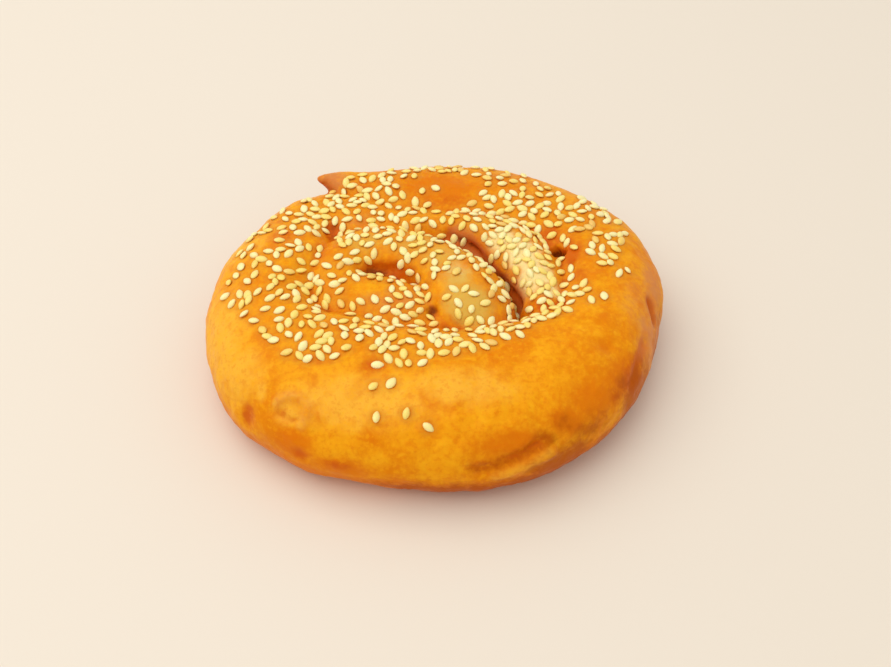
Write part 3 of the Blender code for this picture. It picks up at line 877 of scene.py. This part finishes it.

# %% [markdown]
# ## Where the skin is browner or paler
# Frying colours the crust unevenly: reddish in the seams, brown low on the flanks, pale where a strand
# stood clear of the hot pan. Part of it is painted light and shade as well: darker in the seams, hollows
# and creases and low on the front and right, paler on the left and along the front's top, and a pinkish
# sheen on the right flank. The material could guess all that from noise alone, but the real places matter,
# so each is written down once, with its middle, its reach and its strength. There are eight such tones,
# and the same soft spots and lines that shaped the skin spread them over it.

# %% Places of the tones
# tone: x, y, z, reach along X, Y and Z, strength
TONE_SPOTS = {
    # partly paler crust, partly painted light: the lit left flank and a painted highlight along the front's
    # top
    "light": (
        (-54, -16, 19, 9, 20, 10, 0.9),
        (-48, -30, 21, 7, 8, 8, 0.8),
        (-36, -42, 21, 6.5, 3.5, 3.5, 0.75),
        (-42.8, -36, 22, 1.6, 3.4, 3, 0.7),
        (-32.8, -44.6, 20, 2.4, 1.6, 1.6, 0.7),
        (-52, 14, 22, 8, 14, 6, 0.8),
        (-18, -41, 24, 20, 8, 6, 0.8),
        (6, -38, 26, 16, 6, 5, 0.75),
        (12, 48, 22, 18, 6, 5, 0.3),
    ),
    # amber crust; low on the front and right, above the fold and in the dip at the front right it is also
    # painted shade
    "amber": (
        (-35, -47, 14.8, 8, 4.5, 4, 1),
        (-22, -51, 12, 10, 5, 3.5, 0.9),
        (42.6, -24.2, 25.6, 5, 3.5, 4, 0.6),
        (17, -49.5, 19, 14, 4, 4, 0.8),
        (38, -38, 20, 12, 8, 7, 0.75),
        (32, -43.5, 20, 6, 4.5, 4, 0.95),
        (46, -30, 20, 7, 9, 5, 0.85),
        (1.5, 36.5, 25, 15, 6, 5, 0.9),
    ),
    # reddish crust; in the pocket and in the hollow at the left seam it is also painted shade
    "red": (
        (31, 17.5, 24.5, 5.5, 5, 4, 0.7),
        (36.5, 10, 25, 4.5, 7, 4, 0.75),
        (38.5, 1, 26, 3.5, 6, 4, 0.5),
        (-29, 21, 23.5, 3, 4.5, 4, 0.85),
        (-31.5, 11, 24.5, 2.5, 7, 4, 0.55),
        (-42.5, 15, 25.4, 5, 5, 4, 0.55),
        (-12, 3.8, 23.5, 7, 2.2, 4, 0.9),
        (-15, -32, 27, 4.5, 2.8, 4, 0.6),
        (-28, -30, 26.5, 5, 3, 4, 0.35),
        (-26, -12, 25, 12, 3, 4, 0.4),
        (18, -14.5, 25, 5, 3.5, 4, 0.6),
        (29, -9, 24, 7, 3, 4, 0.65),
        (-20, 38, 25, 6, 5, 4, 0.45),
        (3, 31, 26, 13, 3, 4, 0.45),
        (14, 25, 26, 8, 3, 4, 0.45),
        (-46.8, -38.6, 16, 2.4, 2.6, 4, 0.85),
        (-37.8, -41.3, 20.2, 2.4, 1.5, 1.5, 0.55),
        (-33.5, -48.6, 12.8, 3.4, 2.2, 2.2, 0.65),
        (-23.5, -51.7, 13, 4.5, 2.2, 1.8, 0.6),
        (50, -27.5, 18, 4.5, 6.5, 4.5, 0.8),
        (15, -8, 25.5, 3, 5, 3, 0.5),
        (45.5, -33.5, 18.5, 4, 5, 4, 0.45),
    ),
    # pinkish crust on the tail and the lobe; a painted sheen on the right flank, and painted shade beside
    # the crevice
    "pink": (
        (-30.5, 42.5, 22, 5.5, 4, 4, 1),
        (-10, -8.5, 25.5, 13, 4.5, 4, 0.4),
        (58, 1, 21, 4.5, 9, 5, 0.65),
        (20.5, -2, 22, 4, 9, 4, 0.7),
        (56, -14, 17, 6, 14, 10, 0.65),
        (-22, 24, 24, 8, 4, 4, 0.35),
        (54, -13, 21, 4, 6, 4, 0.6),
        (53, -8, 25, 8, 15, 5, 0.38),
    ),
    # browned crust, and painted shade low round the flanks, most on the right and the front, and by the
    # fold
    "brown": (
        (-31.5, 43, 20, 6, 4, 5, 0.6),
        (51, -28, 13, 7, 10, 8, 0.85),
        (59, -10, 12, 5, 14, 8, 0.6),
        (31, -48, 10, 13, 7, 6, 0.95),
        (38, -42, 16, 12, 6, 5, 0.5),
        (31, -44.5, 20, 5.5, 4, 4, 0.45),
        (47, -32, 18.5, 5.5, 6, 5, 0.5),
        (4, -55, 6, 24, 7, 5, 0.8),
        (52, 20, 8, 12, 30, 6, 0.4),
        (0, 54, 8, 45, 10, 8, 0.55),
        (-56, 8, 7, 10, 26, 6, 0.45),
        (27, -48, 18.5, 4, 3, 3, 0.6),
    ),
    "olive": (
        (8.5, -11.5, 27, 6.5, 7, 5, 1),
        (5.5, -3, 28.5, 5, 6, 4, 0.65),
        (1, 6, 28, 7, 7, 5, 0.55),
        (-6, 12, 27.5, 8, 6, 4, 0.5),
        (-18, 13, 27, 8, 5, 4, 0.5),
        (12, 20, 26, 9, 5, 4, 0.35),
    ),
    "cream": (
        (18, 13.5, 26.3, 4.5, 4.5, 4, 0.8),
        (23.3, 8.6, 26, 4.8, 6, 4.5, 1),
        (26.4, 1, 25, 4.6, 6.5, 4.5, 1),
        (30.5, -4, 25, 3, 3.5, 4, 0.65),
        (5, 0, 28.5, 6, 6, 5, 0.3),
    ),
    # painted shade: dark spots in the pocket and the hollows beside the strand, before the lobe and at the
    # left seam
    "dark": (
        (-15.6, 4.6, 23, 2.6, 1.8, 4, 0.9),
        (36.4, 6, 25, 1.2, 1.4, 3, 0.55),
        (-1.1, -10.8, 24.5, 1.7, 1.5, 4, 0.85),
        (-28.5, 23, 23, 2, 2.5, 4, 0.4),
    ),
}
# tone, strength, width, line
# painted shade: the dark, red, pink, amber and brown lines darken the crevice, pocket, small hole, inner
# foot, fold, wrinkle and the side's creases, over their reddish crust; the light line on the ledge is a
# painted highlight on its ridge
TONE_LINES = (
    ("dark", 0.75, 1.4, CREVICE),
    ("red", 0.85, 4.0, CREVICE),
    ("pink", 0.55, 4.5, CREVICE),
    ("red", 0.80, 3.0, POCKET),
    ("dark", 1.00, 0.9, PINHOLE),
    ("red", 0.70, 3.0, PINHOLE),
    ("red", 0.75, 2.6, INNER_FOOT),
    ("amber", 0.60, 4.5, FOLD),
    ("brown", 0.60, 2.2, FOLD),
    ("light", 0.90, 1.6, LEDGE),
    ("light", 0.60, 1.6, KNUCKLE),
    ("pink", 0.35, 2.4, KNUCKLE),
    ("red", 0.60, 0.9, WRINKLE),
    ("red", 0.90, 2.4, SIDE_CREASE),
    ("brown", 0.60, 1.8, SIDE_CREASE),
    ("red", 0.75, 2.6, SIDE_FOLD),
)
print("tones told by places:", ", ".join(TONE_SPOTS))

# %% [markdown]
# ## How deep a point lies in a seam
# A ninth tone isn't listed: it is measured, and it paints shade into the seams. A copy of the skin is
# smoothed many times, each point moving halfway to the mean of its neighbours, until the seams have filled.
# The distance that a point lies below that copy says how deep in a seam it is, and the deeper, the darker
# its painted shade. The rim round the underside would count as a seam too, so what is near the floor is
# left out.

# %% Depth of the seams
SMOOTHING_ROUNDS = 70
SEAM_FULL_DEPTH = 1.3
SEAM_FROM_FLOOR = 4

points = points_of(dough.data) / MM
edges = np.empty(len(dough.data.edges) * 2, dtype=np.int32)
dough.data.edges.foreach_get("vertices", edges)
edges = edges.reshape(-1, 2)
count = len(points)
neighbours = np.bincount(edges.ravel(), minlength=count)[:, None]

smooth = points.copy()
for _ in range(SMOOTHING_ROUNDS):
    total = np.empty_like(smooth)
    for axis in range(3):
        total[:, axis] = np.bincount(edges[:, 0], smooth[edges[:, 1], axis], count)
        total[:, axis] += np.bincount(edges[:, 1], smooth[edges[:, 0], axis], count)
    smooth = 0.5 * smooth + 0.5 * total / neighbours
depth = ((smooth - points) * points_of(dough.data, "normal")).sum(axis=1)
print("deepest point in a seam, mm:", round(depth.max(), 1))

# %% [markdown]
# ## Storing the tones
# All tones are stored on the skin's points, as attributes that the material reads. Three are worked out
# here: the seams, for their painted shade; the low flank, which is brown on the right and in front and only
# amber elsewhere, partly real browning and partly painted shade, darker low down and on the side away from
# the lamp; and a toasted ring round each seed, where oil gathered, which also paints the shade between
# seeds.

# %% Tones of the skin
# painted shade as well as browning: the low flank darkens towards the floor, more on the right, away from
# the lamp, and at the front
BROWN_TOP = 14.0
BROWN_FADE = 9.0
# the low flank's brown: its share at the middle, its least share, and over how many millimetres it grows
BROWN_TO_RIGHT = 0.5
BROWN_AT_LEFT = 0.2
BROWN_TO_FRONT = 0.7
BROWN_REACH = 50
SEED_STAIN_AND_SHADE_REACH = 3.4

tones = {}
for name, spots in TONE_SPOTS.items():
    tones[name] = np.maximum.reduce([row[6] * spot_at(points, row[:3], row[3:6]) for row in spots])
for name, strength, width, path in TONE_LINES:
    tones[name] = np.maximum(tones[name], strength * line_at(points, width, path))
# painted shade: the deeper a point lies in a seam, the darker it is painted
tones["seam"] = np.clip(depth / SEAM_FULL_DEPTH, 0, 1) * (points[:, 2] > SEAM_FROM_FLOOR)
# partly painted shade: brown low down on the right and front, amber low down all round
shaded_low_flank = np.clip((BROWN_TOP - points[:, 2]) / BROWN_FADE, 0, 1)
to_right = np.clip(BROWN_TO_RIGHT + points[:, 0] / BROWN_REACH, BROWN_AT_LEFT, 1)
to_front = np.clip(BROWN_TO_FRONT - points[:, 1] / BROWN_REACH, 0, 1)
tones["brown"] = np.maximum(tones["brown"], shaded_low_flank * to_right * to_front)
tones["amber"] = np.maximum(tones["amber"], shaded_low_flank)

# a toasted ring round each seed, where oil gathered, which also paints the shade that falls between the
# seeds
tones["seed_stain_and_shade"] = np.zeros(count)
for spot, normal, heading in seed_places:
    for _, i, away in skin_tree.find_range(spot, SEED_STAIN_AND_SHADE_REACH * MM):
        tones["seed_stain_and_shade"][i] = max(tones["seed_stain_and_shade"][i], 1 - away / MM / SEED_STAIN_AND_SHADE_REACH)

for name, values in tones.items():
    layer = dough.data.attributes.new(name, "FLOAT", "POINT")
    layer.data.foreach_set("value", values.astype(np.float32))
print("tones stored:", ", ".join(f"{name} {values.mean():.3f}" for name, values in tones.items()))

# %% [markdown]
# ## A helper for materials
# A Blender material is a tree of nodes, and most of them are added and linked in the same few ways. A small
# class with one method for each kind keeps the recipes below short. Patterns are told in millimetres and
# read Object coordinates, so that they stay where they are on the piece.

# %% A small helper for shader nodes


class Shader:
    """A material's node tree, with short ways to add and link what this notebook uses."""

    def __init__(self, name):
        self.material = bpy.data.materials.new(name)
        self.material.use_nodes = True
        self.tree = self.material.node_tree
        self.surface = self.tree.nodes["Principled BSDF"]
        self.place = self.tree.nodes.new("ShaderNodeTexCoord").outputs["Object"]

    def feed(self, node, inputs):
        """Gives a node its inputs: an output is linked, and a number or a colour is set."""
        for name, value in inputs.items():
            if isinstance(value, bpy.types.NodeSocket):
                self.tree.links.new(value, node.inputs[name])
            else:
                node.inputs[name].default_value = value

    def noise(self, waves, detail=3.0, roughness=0.5, warp=0.0):
        """Noise from 0 to 1, with waves of the given length in millimetres."""
        made = self.tree.nodes.new("ShaderNodeTexNoise")
        shape = {"Scale": 1 / (waves * MM), "Detail": detail, "Roughness": roughness, "Distortion": warp}
        self.feed(made, {"Vector": self.place, **shape})
        return made.outputs["Fac"]

    def ramp(self, value, low, high, start=0.0, end=1.0):
        """Turns low..high into start..end with a soft bend at both, and holds the ends."""
        made = self.tree.nodes.new("ShaderNodeMapRange")
        made.interpolation_type = "SMOOTHSTEP"
        self.feed(made, {"Value": value, "From Min": low, "From Max": high, "To Min": start, "To Max": end})
        return made.outputs["Result"]

    def math(self, operation, first, second):
        made = self.tree.nodes.new("ShaderNodeMath")
        made.operation = operation
        self.feed(made, {0: first, 1: second})
        return made.outputs[0]

    def mix(self, share, first, second):
        """The second colour over the first, by a share from 0 to 1."""
        made = self.tree.nodes.new("ShaderNodeMix")
        made.data_type = "RGBA"
        self.feed(made, {"Factor": share, "A": first, "B": second})
        return made.outputs["Result"]

    def attribute(self, name):
        made = self.tree.nodes.new("ShaderNodeAttribute")
        made.attribute_name = name
        return made.outputs["Fac"]

    def bump(self, height, strength, depth, below=None):
        """A normal tilted by a height map that is some millimetres deep, on top of another normal."""
        made = self.tree.nodes.new("ShaderNodeBump")
        self.feed(made, {"Height": height, "Strength": strength, "Distance": depth * MM})
        if below is not None:
            self.feed(made, {"Normal": below})
        return made.outputs["Normal"]


def colour(red, green, blue):
    """A colour as seen on a screen, from 0 to 255, turned into light."""
    parts = [part / 255 for part in (red, green, blue)]
    light = [((part + 0.055) / 1.055) ** 2.4 if part > 0.04 else part / 12.92 for part in parts]
    return (*light, 1.0)


print("shader helper ready")

# %% [markdown]
# ## The colour of fried dough
# The colour starts from a golden base with mottling at three sizes. Then each tone is mixed in by its
# stored value, with its edge broken up by noise, because no browned spot on real food has a smooth edge.
# The order matters: what comes later covers what came before, so the painted shade of the seams and of the
# dark depths comes last.

# %% Colours of the crust
GOLD = colour(243, 160, 16)
DEEP_GOLD = colour(232, 136, 6)
LIGHT_GOLD = colour(250, 176, 24)
# paler crust, and painted light on the left and along the front's top
PALE_GOLD_AND_PAINTED_LIGHT = colour(249, 184, 58)
AMBER = colour(224, 116, 4)
# toasted crust round the seeds, and painted shade between them
TOAST_AND_SEED_SHADE = colour(216, 132, 34)
# reddish crust, and also the first, reddish step of the painted shade in the seams
RED_CRUST_AND_SEAM_SHADE = colour(210, 94, 12)
# pinkish crust, a painted sheen on the right flank and painted shade by the crevice
PINK_CRUST_SHADE_AND_SHEEN = colour(218, 134, 72)
# browned crust, and painted shade low on the flanks and in the creases
BROWN_CRUST_AND_SHADE = colour(180, 82, 2)
# painted shade: the dark brown of the deepest seams and hollows
SEAM_SHADE_BROWN = colour(112, 42, 8)
CREAM_DOUGH = colour(250, 222, 150)
OLIVE_DOUGH = colour(222, 176, 76)

crust = Shader("fried_dough")
broad = crust.noise(13.0, detail=2.0)
patchy = crust.noise(4.2, detail=3.0, roughness=0.6, warp=0.4)
fine = crust.noise(1.3, detail=3.0, roughness=0.6)
grain = crust.noise(0.45, detail=2.0)
print("colours and noises ready")

# %% Mixing the crust's colour
# tone, its colour and greatest share, and the stored values at which it starts and is full
TONE_COLOURS = (
    ("amber", AMBER, 0.85, 0.12, 0.72),
    # toasting round each seed, and painted shade between the seeds
    ("seed_stain_and_shade", TOAST_AND_SEED_SHADE, 0.70, 0.05, 0.80),
    ("red", RED_CRUST_AND_SEAM_SHADE, 0.90, 0.12, 0.72),
    ("pink", PINK_CRUST_SHADE_AND_SHEEN, 0.85, 0.12, 0.72),
    ("brown", BROWN_CRUST_AND_SHADE, 0.85, 0.12, 0.72),
    ("olive", OLIVE_DOUGH, 0.90, 0.12, 0.72),
    ("cream", CREAM_DOUGH, 0.95, 0.12, 0.72),
    # painted shade in the seams: reddish where shallow, dark brown where deepest
    ("seam", RED_CRUST_AND_SEAM_SHADE, 0.70, 0.10, 0.60),
    ("seam", SEAM_SHADE_BROWN, 0.85, 0.45, 1.10),
    # painted shade in the pocket, the hollows, the crevice and the small hole
    ("dark", SEAM_SHADE_BROWN, 0.90, 0.15, 0.80),
)

ragged = crust.math("ADD", crust.math("MULTIPLY", patchy, 0.7), crust.math("MULTIPLY", fine, 0.3))
ragged = crust.ramp(ragged, 0.30, 0.70, -0.32, 0.32)


def tone_share(name, most, low, high):
    """A tone's share of the colour: its stored value with a ragged edge."""
    stored = crust.attribute(name)
    uneven = crust.math("ADD", stored, crust.math("MULTIPLY", ragged, stored))
    return crust.ramp(uneven, low, high, 0.0, most)


tint = crust.mix(crust.ramp(broad, 0.38, 0.66), GOLD, DEEP_GOLD)
tint = crust.mix(crust.ramp(patchy, 0.52, 0.68, 0.0, 0.55), tint, LIGHT_GOLD)
tint = crust.mix(crust.ramp(patchy, 0.48, 0.32, 0.0, 0.50), tint, AMBER)
# paler crust and painted light: the lit left flank and the painted highlight along the front's top
tint = crust.mix(tone_share("light", 0.75, 0.12, 0.72), tint, PALE_GOLD_AND_PAINTED_LIGHT)
tint = crust.mix(crust.ramp(fine, 0.50, 0.66, 0.0, 0.34), tint, AMBER)
tint = crust.mix(crust.ramp(fine, 0.48, 0.34, 0.0, 0.36), tint, LIGHT_GOLD)
for name, tone_colour, most, low, high in TONE_COLOURS:
    tint = crust.mix(tone_share(name, most, low, high), tint, tone_colour)
crust.feed(crust.surface, {"Base Color": tint})
print("fried dough nodes:", len(crust.tree.nodes))

# %% [markdown]
# ## The gloss of fried dough
# Up close the crust is a thin, oily, slightly see-through skin over soft crumb. So it has a little
# subsurface scattering, a roughness that wanders with the mottling, and a thin clear coat for the oil. The
# plain reflection is weak and warm, because a strong white one would grey the gold. The pores are the one
# thing too fine for the mesh, so they are a bump.

# %% Gloss and pores of the crust
CRUST_GLOSS = {
    "IOR": 1.45,
    "Specular IOR Level": 0.08,
    "Specular Tint": (1.0, 0.70, 0.30, 1.0),
    "Subsurface Weight": 0.18,
    "Subsurface Radius": (1.0, 0.42, 0.14),
    "Subsurface Scale": 2.2 * MM,
    "Coat Weight": 0.05,
    "Coat Roughness": 0.24,
}
crust.feed(crust.surface, CRUST_GLOSS)
crust.feed(crust.surface, {"Roughness": crust.ramp(patchy, 0.3, 0.7, 0.34, 0.50)})
dimples = crust.bump(fine, 0.45, 0.28)
pores = crust.bump(grain, 0.25, 0.07, dimples)
crust.feed(crust.surface, {"Normal": pores})
dough.data.materials.append(crust.material)
print("fried dough nodes with gloss:", len(crust.tree.nodes))

# %% [markdown]
# ## The finish of sesame
# Hulled sesame is cream to pale yellow, and the pointed end is a little darker. Thin edges glow, so it
# scatters light more than the crust does.

# %% Sesame
SEED_CREAM = colour(255, 238, 168)
SEED_YELLOW = colour(255, 222, 112)
SEED_TOAST = colour(226, 160, 74)
SEED_GLOSS = {
    "Roughness": 0.38,
    "IOR": 1.47,
    "Subsurface Weight": 0.3,
    "Subsurface Radius": (1.0, 0.7, 0.35),
    "Subsurface Scale": 0.8 * MM,
    "Coat Weight": 0.15,
    "Coat Roughness": 0.2,
}

hull = Shader("sesame_seed")
tone = hull.attribute("seed_tone")
tint = hull.mix(hull.ramp(tone, 0.15, 0.85), SEED_CREAM, SEED_YELLOW)
tint = hull.mix(hull.ramp(tone, 0.90, 1.0, 0.0, 0.5), tint, SEED_TOAST)
tint = hull.mix(hull.math("MULTIPLY", hull.attribute("seed_end"), 0.4), tint, SEED_TOAST)
hull.feed(hull.surface, {"Base Color": tint, **SEED_GLOSS})
hull.feed(hull.surface, {"Normal": hull.bump(hull.noise(0.35), 0.2, 0.04)})
seeds.data.materials.append(hull.material)
print("sesame nodes:", len(hull.tree.nodes))

# %% [markdown]
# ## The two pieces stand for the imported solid
# The dough replaces the solid, and so do the seeds, because the solid has seeds of its own. Both ride on
# the one body.

# %% Pieces on the frame
for piece, finish in ((dough, "fried_dough"), (seeds, "sesame_seed")):
    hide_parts("pancake")
    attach(piece, "root")
    print(piece.name, len(piece.data.polygons), "faces")

# %% [markdown]
# ## The floor
# A plain pale floor, large enough to reach past the picture. It is only the stage, so it is told to the
# frame as such and isn't part of the pancake.

# %% Floor
FLOOR_SIZE = 4.0
FLOOR_FINISH = {"Base Color": colour(235, 222, 203), "Roughness": 0.6}

floor_mesh = bmesh.new()
bmesh.ops.create_grid(floor_mesh, x_segments=1, y_segments=1, size=FLOOR_SIZE / 2)
floor = object_from(floor_mesh, "floor")
paper = Shader("pale_floor")
paper.feed(paper.surface, FLOOR_FINISH)
floor.data.materials.append(paper.material)
floor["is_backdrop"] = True
print("floor side, m:", FLOOR_SIZE)

# %% [markdown]
# ## The light
# The photograph is bright and nearly without hard shadows. One large soft box hangs above and to the left,
# and an even white room fills the rest. A bigger lamp gives a softer shadow, and the room's strength says
# how dark that shadow gets. The Standard view keeps the golds as bright as the photograph has them.

# %% Light
KEY_PLACE = Vector((-0.42, 0.05, 0.95))
KEY_SIZE = 1.2
KEY_POWER = 6.1
ROOM_LIGHT = {"Color": (1.0, 1.0, 1.0, 1.0), "Strength": 0.73}

key_data = bpy.data.lights.new("key", "AREA")
key_data.size = KEY_SIZE
key_data.energy = KEY_POWER
key = bpy.data.objects.new("key", key_data)
key.location = KEY_PLACE
key.rotation_euler = (-KEY_PLACE).to_track_quat("-Z", "Y").to_euler()
bpy.context.scene.collection.objects.link(key)

room = bpy.data.worlds.new("room")
room.use_nodes = True
for name, value in ROOM_LIGHT.items():
    room.node_tree.nodes["Background"].inputs[name].default_value = value
bpy.context.scene.world = room
bpy.context.scene.view_settings.view_transform = "Standard"
print("soft box, m from the pancake:", round(KEY_PLACE.length, 2))

# %% [markdown]
# ## Measure and finish
# The dressed pancake's box is measured, and its sides are printed in millimetres.

# %% Measure
low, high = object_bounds()
print("dressed pancake, mm:", [round(side / MM, 1) for side in high - low])
